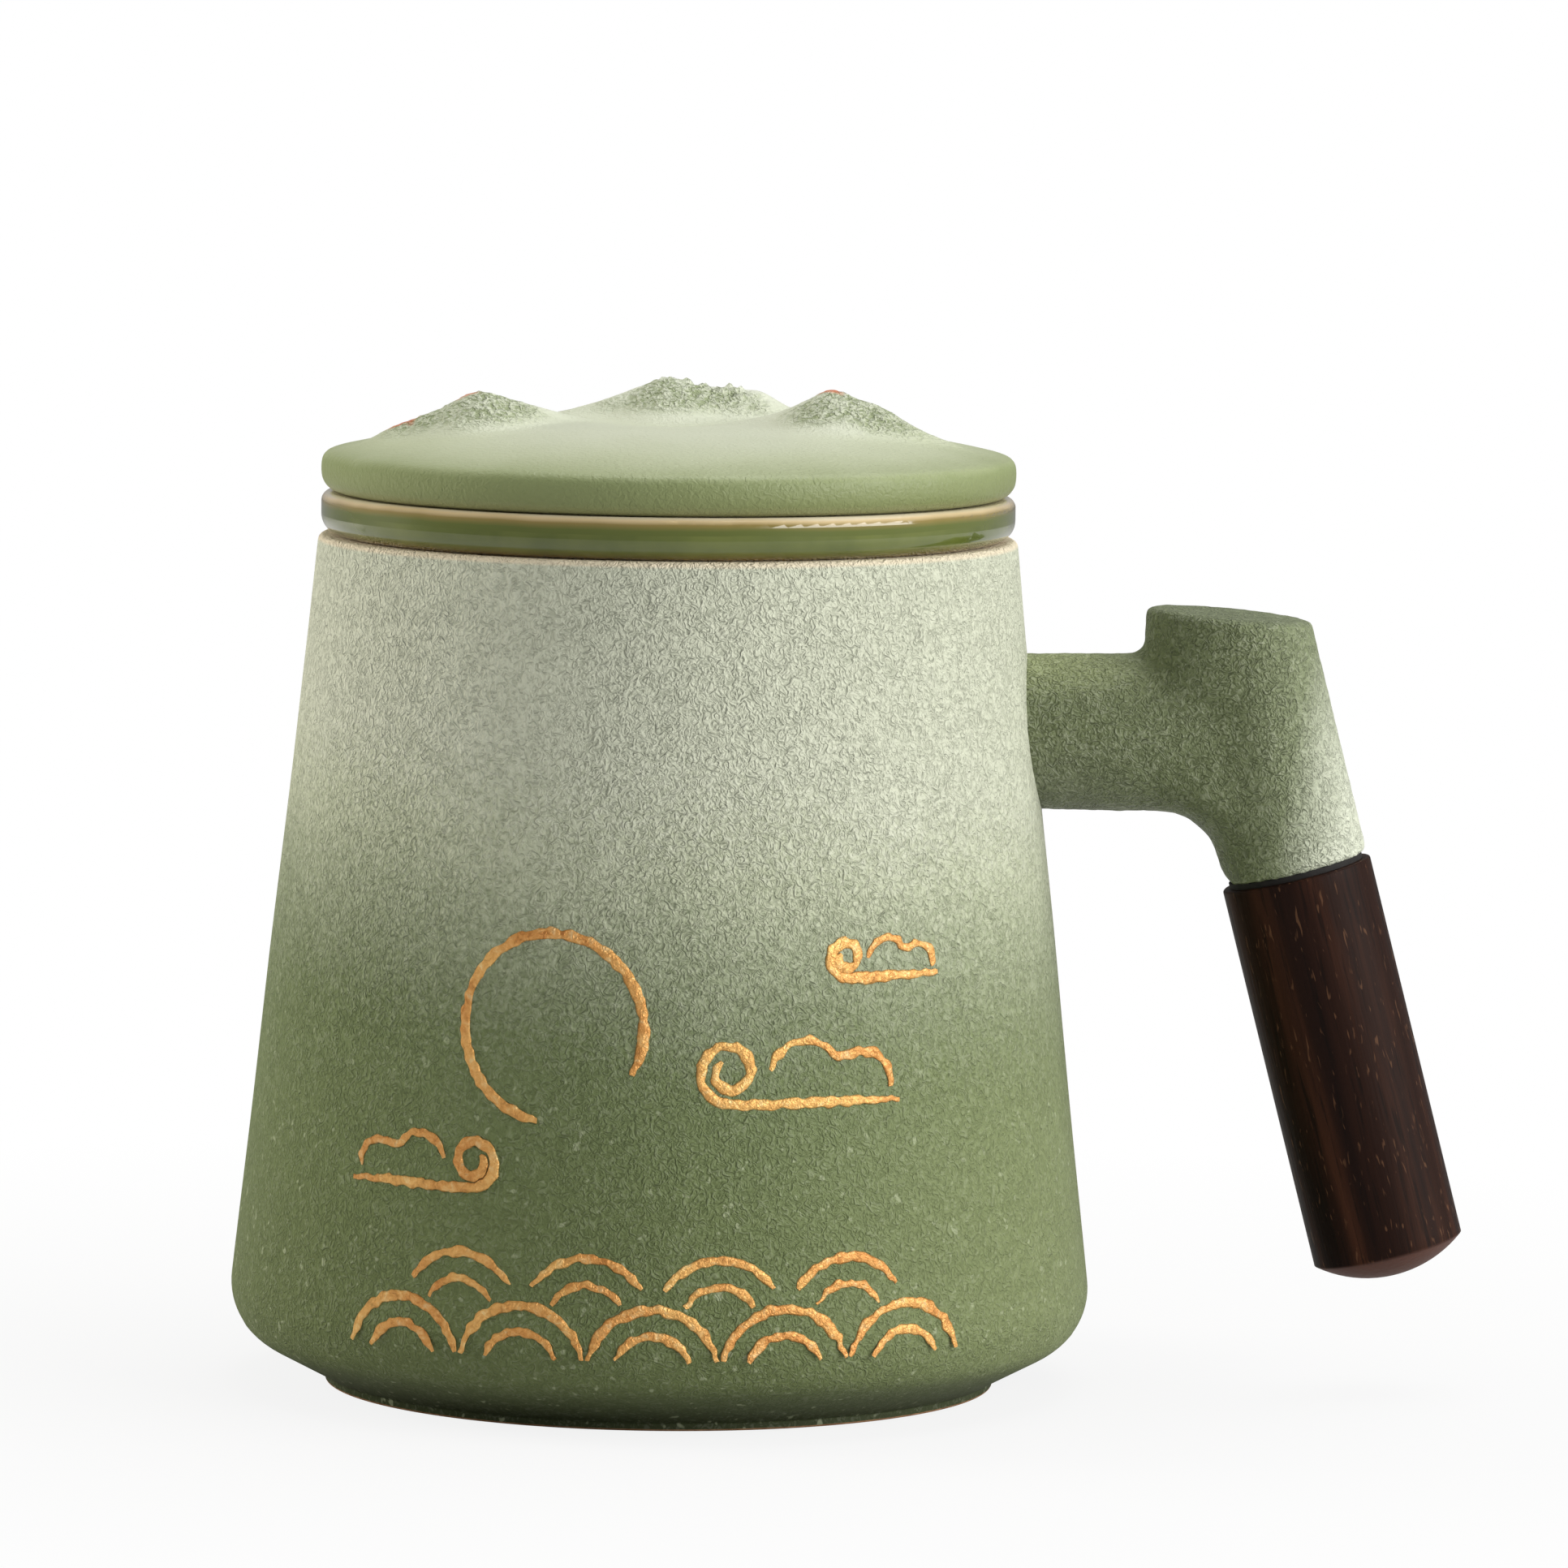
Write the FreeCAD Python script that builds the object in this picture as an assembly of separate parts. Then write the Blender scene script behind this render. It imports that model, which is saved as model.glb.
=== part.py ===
"""A lidded stoneware tea mug with a lift-out infuser and a side handle with a wooden grip.

Millimetres. The origin is the centre of the foot ring on the table, +Z is up, and the handle
points along +X. Each function makes one piece, and each piece is one closed solid.
"""
import FreeCAD
import Part
import math
import os

# Mug body
MUG_HEIGHT = 107.2
BASE_RADIUS = 55.8
RIM_RADIUS = 44.0
MUG_WALL = 4.5
FLOOR_TOP = 7.0
FLOOR_ROUND = 12.0
FOOT_RADIUS = 42.3
FOOT_HEIGHT = 1.0
FOOT_RING_WIDTH = 3.6
FOOT_RECESS = 2.0
FOOT_ROUND = 0.5
BEVEL_ANGLE = 27.8
CORNER_ROUND = 8.5
RIM_ROUND = 0.8
MOUTH_ROUND = 0.4

# Infuser
FLANGE_RADIUS = 43.7
FLANGE_HEIGHT = 5.4
FLANGE_LOWER_ROUND = 2.6
FLANGE_UPPER_ROUND = 1.2
SPIGOT_LENGTH = 4.5
SPIGOT_CLEARANCE = 0.6
SPIGOT_STEP = 0.5
INFUSER_WALL = 2.8
INFUSER_DEPTH = 62.0
INFUSER_BOTTOM_RADIUS = 30.0
INFUSER_CORNER_ROUND = 7.0
HOLE_DIAMETER = 2.2
HOLE_PITCH = 5.6
BOTTOM_RINGS = 3
WALL_HOLES = 20
WALL_ROWS = 2

# Lid
LID_RADIUS = 43.75
LID_RIM_HEIGHT = 4.9
LID_LOWER_ROUND = 2.4
LID_UPPER_ROUND = 1.6
LID_DOME_RISE = 4.1
LID_DOME_POWER = 2.6
LID_THICKNESS = 4.6
SKIRT_LENGTH = 4.8
SKIRT_WALL = 3.0
SKIRT_CLEARANCE = 0.8
SKIRT_ROUND = 0.9
RECESS_ROUND = 3.0

# Lid mountains: crest points are X, Y and height above the dome's outer edge
FLANK_SLOPE = 0.62
CREST_SOFTNESS = 0.7
MOUNTAIN_BLEND = 2.4
VALLEY_DEPTH = 0.9
VALLEY_RADIUS = 9.0
VALLEY_Y = 5.0
RELIEF_STEP = 1.5
LEFT_CREST = ((-37.5, -7.0, 1.4), (-33.2, -6.0, 4.1), (-29.0, -5.5, 5.6),
              (-24.0, -4.0, 8.1), (-20.0, -2.0, 7.0), (-13.5, 3.0, 4.9), (-8.0, 6.0, 3.4))
BACK_CREST = ((-21.0, 11.0, 2.8), (-10.0, 14.0, 5.6), (-0.6, 16.0, 9.0), (3.5, 17.0, 8.0),
              (10.7, 18.0, 7.3), (14.5, 17.5, 5.3), (19.0, 16.0, 3.8), (28.0, 12.0, 2.2))
RIGHT_CREST = ((5.0, 2.0, 3.4), (13.6, -0.5, 5.6), (20.4, -3.5, 8.8),
               (25.5, -4.0, 7.0), (34.2, -5.0, 2.7), (38.0, -5.0, 0.8))

# Handle arm and boss, cast in the same clay as the mug
ARM_CENTRE_HEIGHT = 83.2
ARM_HALF_HEIGHT = 9.75
ARM_HALF_HEIGHT_AT_BOSS = 10.2
ARM_HALF_DEPTH = 9.3
ARM_SHORTFALL = 2.8
BOSS_TOP_X = 70.5
BOSS_TOP_RISE = 15.1
BOSS_TOP_TILT = 4.5
BOSS_TOP_HALF_WIDTH = 10.7
BOSS_TOP_HALF_DEPTH = 10.9
BOSS_TOP_ROUND = 1.2
BOSS_END_RADIUS = 9.25
BOSS_END_ROUND = 0.5
ELBOW_ROUND = 4.5

# Grip and the hardware that holds it, along the grip's own axis
SEAM_X = 79.65
SEAM_DROP = 16.85
GRIP_TILT = 14.6
WASHER_RADIUS = 8.6
WASHER_THICKNESS = 0.7
GRIP_RADIUS = 9.55
GRIP_LENGTH = 52.7
GRIP_DOME_HEIGHT = 3.4
GRIP_EDGE_ROUND = 0.4
STUD_RADIUS = 3.0
STUD_IN_BOSS = 19.0
STUD_IN_GRIP = 20.0
SOCKET_RADIUS = 4.5
SOCKET_SPARE = 1.5
INSERT_RADIUS = 4.2
INSERT_LENGTH = 15.0
BORE_SPARE = 2.0

OVERSHOOT = 20.0
UP = FreeCAD.Vector(0, 0, 1)


def point(x, z, y=0.0):
    return FreeCAD.Vector(x, y, z)


def tangent_length(before, corner, after, radius):
    """Distance from a corner to where a round of this radius starts on its two sides."""
    turn = (before - corner).getAngle(after - corner)
    return radius / math.tan(turn / 2.0)


def rounded_face(corners):
    """A face in the XZ plane from corners (x, z, round), joined by lines and tangent arcs."""
    points = [point(x, z) for x, z, _ in corners]
    edges = []
    ends = []
    for index, (_, _, radius) in enumerate(corners):
        corner = points[index]
        before = points[index - 1]
        after = points[(index + 1) % len(points)]
        if radius == 0.0:
            ends.append((corner, corner))
            continue
        reach = tangent_length(before, corner, after, radius)
        back = (before - corner).normalize()
        ahead = (after - corner).normalize()
        start = corner + back * reach
        end = corner + ahead * reach
        inward = (back + ahead).normalize()
        to_centre = math.hypot(reach, radius)
        middle = corner + inward * (to_centre - radius)
        ends.append((start, end))
        edges.append(Part.Arc(start, middle, end).toShape())
    for index, (_, end) in enumerate(ends):
        start_of_next = ends[(index + 1) % len(ends)][0]
        if end.distanceToPoint(start_of_next) > 1e-6:
            edges.append(Part.LineSegment(end, start_of_next).toShape())
    return Part.Face(Part.Wire(Part.__sortEdges__(edges)))


def turned(corners):
    """A solid of revolution about the Z axis."""
    return rounded_face(corners).revolve(point(0, 0), UP, 360.0)


def mug_outer_radius(z):
    return BASE_RADIUS + (RIM_RADIUS - BASE_RADIUS) * z / MUG_HEIGHT


def mug_inner_radius(z):
    return mug_outer_radius(z) - MUG_WALL


def mug_body():
    """The cup: a slightly conical wall, a bevel down to the foot ring and a flat floor."""
    rise_per_run = math.tan(math.radians(BEVEL_ANGLE))
    taper = (BASE_RADIUS - RIM_RADIUS) / MUG_HEIGHT
    widest_z = (BASE_RADIUS - FOOT_RADIUS + FOOT_HEIGHT / rise_per_run) / (1.0 / rise_per_run + taper)
    return turned([
        (0.0, FOOT_RECESS, 0.0),
        (FOOT_RADIUS - FOOT_RING_WIDTH, FOOT_RECESS, FOOT_ROUND),
        (FOOT_RADIUS - FOOT_RING_WIDTH, 0.0, FOOT_ROUND),
        (FOOT_RADIUS, 0.0, FOOT_ROUND / 2.0),
        (FOOT_RADIUS, FOOT_HEIGHT, FOOT_ROUND / 2.0),
        (mug_outer_radius(widest_z), widest_z, CORNER_ROUND),
        (RIM_RADIUS, MUG_HEIGHT, RIM_ROUND),
        (mug_inner_radius(MUG_HEIGHT), MUG_HEIGHT, MOUTH_ROUND),
        (mug_inner_radius(FLOOR_TOP), FLOOR_TOP, FLOOR_ROUND),
        (0.0, FLOOR_TOP, 0.0),
    ])


def spigot_radius():
    return mug_inner_radius(MUG_HEIGHT) - SPIGOT_CLEARANCE


def infuser_mouth_radius():
    return spigot_radius() - INFUSER_WALL


def flange_top():
    return MUG_HEIGHT + FLANGE_HEIGHT


def hole_drill(position, direction, reach):
    start = position - direction * reach
    return Part.makeCylinder(HOLE_DIAMETER / 2.0, 2.0 * reach, start, direction)


def infuser_holes(bottom_z, wall_start_z, wall_radius):
    """Drills for rings of holes in the bottom and rows of holes just above its corner."""
    drills = [hole_drill(point(0, bottom_z), UP, INFUSER_WALL * 2.0)]
    for ring in range(1, BOTTOM_RINGS + 1):
        count = 6 * ring
        for index in range(count):
            turn = 2.0 * math.pi * index / count
            x = ring * HOLE_PITCH * math.cos(turn)
            y = ring * HOLE_PITCH * math.sin(turn)
            drills.append(hole_drill(point(x, bottom_z, y), UP, INFUSER_WALL * 2.0))
    for row in range(WALL_ROWS):
        z = wall_start_z + row * HOLE_PITCH
        for index in range(WALL_HOLES):
            turn = 2.0 * math.pi * (index + row / 2.0) / WALL_HOLES
            outward = FreeCAD.Vector(math.cos(turn), math.sin(turn), 0.0)
            drills.append(hole_drill(outward * wall_radius + UP * z, outward, INFUSER_WALL * 2.0))
    return drills


def infuser():
    """The strainer cup, which hangs in the mug's mouth by its flange."""
    bottom_z = MUG_HEIGHT - INFUSER_DEPTH
    spigot_z = MUG_HEIGHT - SPIGOT_LENGTH
    neck_radius = spigot_radius() - SPIGOT_STEP
    inner_bottom = INFUSER_BOTTOM_RADIUS - INFUSER_WALL
    cup = turned([
        (0.0, bottom_z, 0.0),
        (INFUSER_BOTTOM_RADIUS, bottom_z, INFUSER_CORNER_ROUND),
        (neck_radius, spigot_z - SPIGOT_STEP, 0.0),
        (spigot_radius(), spigot_z, 0.0),
        (spigot_radius(), MUG_HEIGHT, 0.0),
        (FLANGE_RADIUS, MUG_HEIGHT, FLANGE_LOWER_ROUND),
        (FLANGE_RADIUS, flange_top(), FLANGE_UPPER_ROUND),
        (infuser_mouth_radius(), flange_top(), FLANGE_UPPER_ROUND),
        (infuser_mouth_radius(), spigot_z, 0.0),
        (inner_bottom, bottom_z + INFUSER_WALL, INFUSER_CORNER_ROUND - INFUSER_WALL),
        (0.0, bottom_z + INFUSER_WALL, 0.0),
    ])
    wall_start_z = bottom_z + INFUSER_CORNER_ROUND + HOLE_DIAMETER
    return cup.cut(infuser_holes(bottom_z, wall_start_z, INFUSER_BOTTOM_RADIUS))


def ridge_height(x, y, crest):
    """Height of a mountain at a place: the crest's own height there, less the flank's fall."""
    best = -1e9
    for (x0, y0, h0), (x1, y1, h1) in zip(crest, crest[1:]):
        run_x = x1 - x0
        run_y = y1 - y0
        along = ((x - x0) * run_x + (y - y0) * run_y) / (run_x ** 2 + run_y ** 2)
        along = max(0.0, min(1.0, along))
        away = math.hypot(x - x0 - along * run_x, y - y0 - along * run_y)
        fall = FLANK_SLOPE * (math.hypot(away, CREST_SOFTNESS) - CREST_SOFTNESS)
        best = max(best, h0 + along * (h1 - h0) - fall)
    return best


def lid_edge_height():
    return flange_top() + LID_RIM_HEIGHT


def lid_top_height(x, y):
    """The lid's upper surface: a low dome with a shallow valley and three ranges of peaks."""
    share = math.hypot(x, y) / LID_RADIUS
    dome = LID_DOME_RISE * (1.0 - share ** LID_DOME_POWER)
    dome -= VALLEY_DEPTH * math.exp(-(x ** 2 + (y - VALLEY_Y) ** 2) / VALLEY_RADIUS ** 2)
    heights = [dome]
    for crest in (LEFT_CREST, BACK_CREST, RIGHT_CREST):
        heights.append(ridge_height(x, y, crest))
    highest = max(heights)
    total = sum(math.exp(MOUNTAIN_BLEND * (height - highest)) for height in heights)
    return lid_edge_height() + highest + math.log(total) / MOUNTAIN_BLEND


def lid_relief():
    """Everything below the lid's upper surface, wider than the lid."""
    reach = LID_RADIUS + 2.0 * RELIEF_STEP
    count = int(math.ceil(2.0 * reach / RELIEF_STEP)) + 1
    places = [-reach + 2.0 * reach * index / (count - 1) for index in range(count)]
    surface = Part.BSplineSurface()
    surface.interpolate([[point(x, lid_top_height(x, y), y) for y in places] for x in places])
    return surface.toShape().extrude(UP * -(2.0 * OVERSHOOT + SKIRT_LENGTH))


def lid():
    """The lid: a thick rounded rim, a skirt that locates in the infuser and a carved top."""
    seat_z = flange_top()
    skirt_radius = infuser_mouth_radius() - SKIRT_CLEARANCE
    skirt_inner = skirt_radius - SKIRT_WALL
    skirt_bottom = seat_z - SKIRT_LENGTH
    dome_at_skirt = LID_DOME_RISE * (1.0 - (skirt_inner / LID_RADIUS) ** LID_DOME_POWER)
    recess_edge_z = lid_edge_height() + dome_at_skirt - LID_THICKNESS
    recess_top_z = lid_edge_height() + LID_DOME_RISE - VALLEY_DEPTH - LID_THICKNESS
    blank = turned([
        (0.0, recess_top_z, 0.0),
        (skirt_inner / 2.0, recess_top_z, RECESS_ROUND),
        (skirt_inner, recess_edge_z, RECESS_ROUND),
        (skirt_inner, skirt_bottom, SKIRT_ROUND),
        (skirt_radius, skirt_bottom, SKIRT_ROUND),
        (skirt_radius, seat_z, 0.0),
        (LID_RADIUS, seat_z, LID_LOWER_ROUND),
        (LID_RADIUS, lid_edge_height() + OVERSHOOT, 0.0),
        (0.0, lid_edge_height() + OVERSHOOT, 0.0),
    ])
    carved = blank.common(lid_relief())
    rim_edges = []
    for edge in carved.Edges:
        box = edge.BoundBox
        if box.ZMin > lid_edge_height() - LID_UPPER_ROUND and box.XLength > LID_RADIUS:
            rim_edges.append(edge)
    return carved.makeFillet(LID_UPPER_ROUND, rim_edges)


def ellipse_wire(centre, across, half_across, half_depth):
    """An ellipse spanned by the direction across, in the XZ plane, and the Y axis."""
    side = centre + across * half_across
    front = centre + FreeCAD.Vector(0, half_depth, 0)
    if half_across >= half_depth:
        curve = Part.Ellipse(side, front, centre)
    else:
        curve = Part.Ellipse(front, side, centre)
    return Part.Wire(curve.toShape())


def seam_height():
    return ARM_CENTRE_HEIGHT - SEAM_DROP


def on_grip_axis(shape):
    """Places a shape made along +Z so that it runs from the seam down the grip's axis."""
    turn = FreeCAD.Rotation(FreeCAD.Vector(0, 1, 0), 180.0 - GRIP_TILT)
    placed = shape.copy()
    placed.Placement = FreeCAD.Placement(point(SEAM_X, seam_height()), turn)
    return placed


def mug_cone():
    """The mug's outer cone, run on past both ends, to trim what is luted onto it."""
    low = -OVERSHOOT
    high = MUG_HEIGHT + OVERSHOOT
    return Part.makeCone(mug_outer_radius(low), mug_outer_radius(high), high - low, point(0, low))


def edges_on_plane(shape, centre, normal):
    """The edges of a shape that lie wholly in one plane."""
    found = []
    for edge in shape.Edges:
        offsets = [abs((place - centre).dot(normal)) for place in edge.discretize(5)]
        if max(offsets) < 0.01:
            found.append(edge)
    return found


def boss_top_height():
    return ARM_CENTRE_HEIGHT + BOSS_TOP_RISE


def boss_axis_x(z):
    """Where the middle of the boss is at a height."""
    lean = (SEAM_X - BOSS_TOP_X) / (seam_height() - boss_top_height())
    return BOSS_TOP_X + (z - boss_top_height()) * lean


def handle_arm():
    """The arm from the mug's wall and the slanted boss that carries the grip."""
    grip_down = point(math.sin(math.radians(GRIP_TILT)), -math.cos(math.radians(GRIP_TILT)))
    top_across = point(math.cos(math.radians(BOSS_TOP_TILT)), -math.sin(math.radians(BOSS_TOP_TILT)))
    top_centre = point(BOSS_TOP_X, boss_top_height())
    seam_centre = point(SEAM_X, seam_height())
    wall_end = point(mug_inner_radius(ARM_CENTRE_HEIGHT), ARM_CENTRE_HEIGHT)
    boss_end = point(boss_axis_x(ARM_CENTRE_HEIGHT) - ARM_SHORTFALL, ARM_CENTRE_HEIGHT)
    arm = Part.makeLoft([
        ellipse_wire(wall_end, UP, ARM_HALF_HEIGHT, ARM_HALF_DEPTH),
        ellipse_wire(boss_end, UP, ARM_HALF_HEIGHT_AT_BOSS, ARM_HALF_DEPTH),
    ], True, True)
    boss = Part.makeLoft([
        ellipse_wire(top_centre, top_across, BOSS_TOP_HALF_WIDTH, BOSS_TOP_HALF_DEPTH),
        Part.Wire(Part.Circle(seam_centre, grip_down, BOSS_END_RADIUS).toShape()),
    ], True, True)
    boss = boss.makeFillet(BOSS_TOP_ROUND, edges_on_plane(boss, top_centre, top_across.cross(point(0, 0, 1))))
    boss = boss.makeFillet(BOSS_END_ROUND, edges_on_plane(boss, seam_centre, grip_down))
    handle = boss.fuse(arm)
    elbow_edges = []
    for edge in handle.Edges:
        box = edge.BoundBox
        if box.YLength > ARM_HALF_DEPTH and box.ZLength > ARM_HALF_HEIGHT and box.XMin > wall_end.x + 1.0:
            elbow_edges.append(edge)
    handle = handle.makeFillet(ELBOW_ROUND, elbow_edges)
    socket_depth = STUD_IN_BOSS + SOCKET_SPARE
    socket = Part.makeCylinder(SOCKET_RADIUS, socket_depth, point(0, -socket_depth))
    return handle.cut([mug_cone(), on_grip_axis(socket)])


def grip_washer():
    """A thin dark ring between the clay and the wood."""
    disc = Part.makeCylinder(WASHER_RADIUS, WASHER_THICKNESS)
    hole = Part.makeCylinder(STUD_RADIUS, WASHER_THICKNESS)
    return on_grip_axis(disc.cut(hole))


def wood_grip():
    """The turned wooden grip, with a low dome at its free end and a blind bore for its insert."""
    end_z = WASHER_THICKNESS + GRIP_LENGTH
    shoulder_z = end_z - GRIP_DOME_HEIGHT
    dome_radius = (GRIP_RADIUS ** 2 + GRIP_DOME_HEIGHT ** 2) / (2.0 * GRIP_DOME_HEIGHT)
    ball = Part.makeSphere(dome_radius, point(0, end_z - dome_radius))
    dome = ball.common(Part.makeCylinder(GRIP_RADIUS, GRIP_DOME_HEIGHT, point(0, shoulder_z)))
    rod = Part.makeCylinder(GRIP_RADIUS, shoulder_z - WASHER_THICKNESS, point(0, WASHER_THICKNESS))
    rod = rod.makeFillet(GRIP_EDGE_ROUND, edges_on_plane(rod, point(0, WASHER_THICKNESS), UP))
    bore = Part.makeCylinder(INSERT_RADIUS, INSERT_LENGTH, point(0, WASHER_THICKNESS))
    pilot = Part.makeCylinder(STUD_RADIUS, STUD_IN_GRIP + BORE_SPARE, point(0, WASHER_THICKNESS))
    return on_grip_axis(rod.fuse(dome).removeSplitter().cut([bore, pilot]))


def grip_insert():
    """The brass sleeve in the wood that the stud screws into."""
    sleeve = Part.makeCylinder(INSERT_RADIUS, INSERT_LENGTH, point(0, WASHER_THICKNESS))
    hole = Part.makeCylinder(STUD_RADIUS, INSERT_LENGTH, point(0, WASHER_THICKNESS))
    return on_grip_axis(sleeve.cut(hole))


def grip_stud():
    """The steel rod through the seam."""
    length = STUD_IN_BOSS + WASHER_THICKNESS + STUD_IN_GRIP
    return on_grip_axis(Part.makeCylinder(STUD_RADIUS, length, point(0, -STUD_IN_BOSS)))


def stud_potting():
    """The epoxy that holds the rod in the boss's socket."""
    depth = STUD_IN_BOSS + SOCKET_SPARE
    plug = Part.makeCylinder(SOCKET_RADIUS, depth, point(0, -depth))
    hole = Part.makeCylinder(STUD_RADIUS, STUD_IN_BOSS, point(0, -STUD_IN_BOSS))
    return on_grip_axis(plug.cut(hole))


PIECES = {
    "mug_body": mug_body,
    "handle_arm": handle_arm,
    "infuser": infuser,
    "lid": lid,
    "grip_washer": grip_washer,
    "wood_grip": wood_grip,
    "grip_insert": grip_insert,
    "grip_stud": grip_stud,
    "stud_potting": stud_potting,
}

os.makedirs("parts", exist_ok=True)
for name, make in PIECES.items():
    solid = make()
    if solid.ShapeType != "Solid":
        solid = solid.Solids[0]
    print(name, "valid" if solid.isValid() else "NOT VALID", round(solid.Volume / 1000.0, 2), "cm3")
    solid.exportStep("parts/" + name + ".step")
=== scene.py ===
"""The looks of the lidded tea mug: glazes, wood, gold line work, lights and camera.

Metres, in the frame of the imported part: the origin is the foot ring's centre on the table, +Z is
up, the handle points along +X and the photograph is taken from the -Y side.
"""
import math

import bmesh
import bpy
from mathutils import Matrix, Vector, noise


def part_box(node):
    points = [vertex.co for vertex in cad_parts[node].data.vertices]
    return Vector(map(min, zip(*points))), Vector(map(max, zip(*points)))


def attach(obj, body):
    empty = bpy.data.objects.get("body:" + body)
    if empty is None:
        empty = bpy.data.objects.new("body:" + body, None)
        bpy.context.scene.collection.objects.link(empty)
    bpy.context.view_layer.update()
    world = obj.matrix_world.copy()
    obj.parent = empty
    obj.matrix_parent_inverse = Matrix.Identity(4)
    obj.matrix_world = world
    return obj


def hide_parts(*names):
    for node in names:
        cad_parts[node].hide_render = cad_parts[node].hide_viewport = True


MM = 0.001
MERGE_DISTANCE = 0.002 * MM
WHITE = (1.0, 1.0, 1.0, 1.0)
BLACK = (0.0, 0.0, 0.0, 1.0)

# Mug body profile
BASE_RADIUS = 55.8 * MM
RIM_RADIUS = 44.0 * MM
MUG_WALL = 4.5 * MM
FLOOR_TOP = 7.0 * MM
FLOOR_ROUND = 12.0 * MM
FOOT_RADIUS = 42.3 * MM
FOOT_HEIGHT = 1.0 * MM
FOOT_RING_WIDTH = 3.6 * MM
FOOT_RECESS = 2.0 * MM
FOOT_ROUND = 0.5 * MM
BEVEL_ANGLE = 27.8
CORNER_ROUND = 8.5 * MM
RIM_ROUND = 0.8 * MM
MOUTH_ROUND = 0.4 * MM
MUG_STEPS = 288
PROFILE_SPACING = 2.0 * MM
# The hand-thrown unevenness of the wall: depth, fineness, and where it fades out at both ends
THROWN_WAVE = 0.12 * MM
WAVE_SCALE = 45.0
WAVE_BOTTOM = 3.0 * MM
WAVE_TOP = 2.0 * MM
WAVE_FADE = 10.0 * MM

# Handle and grip
ARM_ROOT_X = 43.5 * MM
ARM_END_X = 72.0 * MM
ARM_CENTRE_HEIGHT = 83.2 * MM
ARM_HALF_HEIGHT = 9.75 * MM
ARM_HALF_HEIGHT_AT_BOSS = 10.2 * MM
ARM_HALF_DEPTH = 9.3 * MM
BOSS_TOP = Vector((71.0, 0.0, 98.3)) * MM
BOSS_TOP_TILT = 4.5
BOSS_TOP_HALF_WIDTH = 10.2 * MM
BOSS_TOP_HALF_DEPTH = 10.9 * MM
BOSS_END_RADIUS = 9.25 * MM
HANDLE_VOXEL = 0.45 * MM
HANDLE_SMOOTHING = 3
SWEEP_MIDDLE = Vector((69.9, 0.0, 75.7)) * MM
SWEEP_SLOPE = 37.7
SWEEP_LENGTH = 9.2 * MM
SWEEP_HALF_HEIGHT = 5.0 * MM
SWEEP_HALF_DEPTH = 8.7 * MM
# Parts of the handle that are softened more: middle, reach and rounds of smoothing
SOFTENED = ((Vector((67.0, 0.0, 72.0)) * MM, 9.0 * MM, 70),
            (Vector((61.0, 0.0, 93.2)) * MM, 3.6 * MM, 30),
            (Vector((65.0, 0.0, 83.5)) * MM, 9.0 * MM, 60),
            (Vector((70.5, 0.0, 104.0)) * MM, 12.5 * MM, 14))
SHOULDER_X = 70.75 * MM
SHOULDER_HALF_WIDTH = 10.5 * MM
SHOULDER_HALF_DEPTH = 10.4 * MM
SHOULDER_BOTTOM = 88.0 * MM
SHOULDER_TOP = 98.4 * MM
HANDLE_PEEL = 0.07 * MM
SEAM = Vector((79.65, 0.0, 66.35)) * MM
GRIP_TILT = 14.6
GRIP_START = 0.7 * MM
GRIP_LENGTH = 52.7 * MM
GRIP_RADIUS = 9.55 * MM
GRIP_DOME = 3.4 * MM
GRIP_EDGE = 0.35 * MM
GRIP_BORE = 4.2 * MM
GRIP_BORE_DEPTH = 15.0 * MM
GRIP_STEPS = 128

# Lid
LID_VOXEL = 0.5 * MM
LID_SMOOTHING = 3
LID_EDGE_HEIGHT = 117.5 * MM
LID_RADIUS = 43.75 * MM
LID_DOME_RISE = 4.1 * MM
LID_DOME_POWER = 2.6
CRUMBLE_DEPTH = 0.4 * MM
JAGGED_DEPTH = 1.3 * MM
# Patches of the lid's relief, in millimetres: middle x and y, reach along x and y
CRUMBLY = ((-22.0, -6.5, 9.0, 5.0), (2.5, 12.0, 11.0, 5.0), (23.0, -6.5, 9.5, 4.5),
           (-32.0, -7.5, 3.5, 2.5))
JAGGED = (5.0, 16.8, 6.5, 1.6)
# Worn tips of the mountains: middle x and y, and reach
BARE_TIPS = ((-33.2 * MM, -6.0 * MM, 1.6 * MM), (-25.0 * MM, -4.3 * MM, 1.5 * MM),
             (20.4 * MM, -3.5 * MM, 1.6 * MM))
RELIEF_START = 0.3 * MM
RELIEF_FULL = 1.8 * MM

# Gold line work: half width of a stroke, its height as a share of that, and its ragged edge
GOLD_HALF_WIDTH = 0.62 * MM
GOLD_FLATNESS = 0.22
GOLD_RAGGED = 0.36 * MM

# Camera
CAMERA_PLACE = (19.57 * MM, -1308.82 * MM, 203.36 * MM)
CAMERA_YAW = -0.2011
CAMERA_PITCH = 5.556
CAMERA_ROLL = 0.7296
CAMERA_LENS = 239.1

# Studio
FLOOR_SIZE = 6.0
FLOOR_GREY = (0.62, 0.62, 0.62, 1.0)
WORLD_LEVEL = 0.3
OBJECT_MIDDLE = (0.0, 0.0, 0.07)

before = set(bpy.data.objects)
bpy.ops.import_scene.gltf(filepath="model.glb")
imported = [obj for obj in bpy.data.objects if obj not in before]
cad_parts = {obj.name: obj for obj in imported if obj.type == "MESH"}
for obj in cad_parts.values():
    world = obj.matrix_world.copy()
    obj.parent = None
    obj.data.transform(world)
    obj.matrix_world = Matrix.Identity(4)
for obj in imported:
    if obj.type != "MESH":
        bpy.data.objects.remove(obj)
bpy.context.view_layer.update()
MUG_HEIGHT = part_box("mug_body")[1][2]


# Mesh helpers

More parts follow.
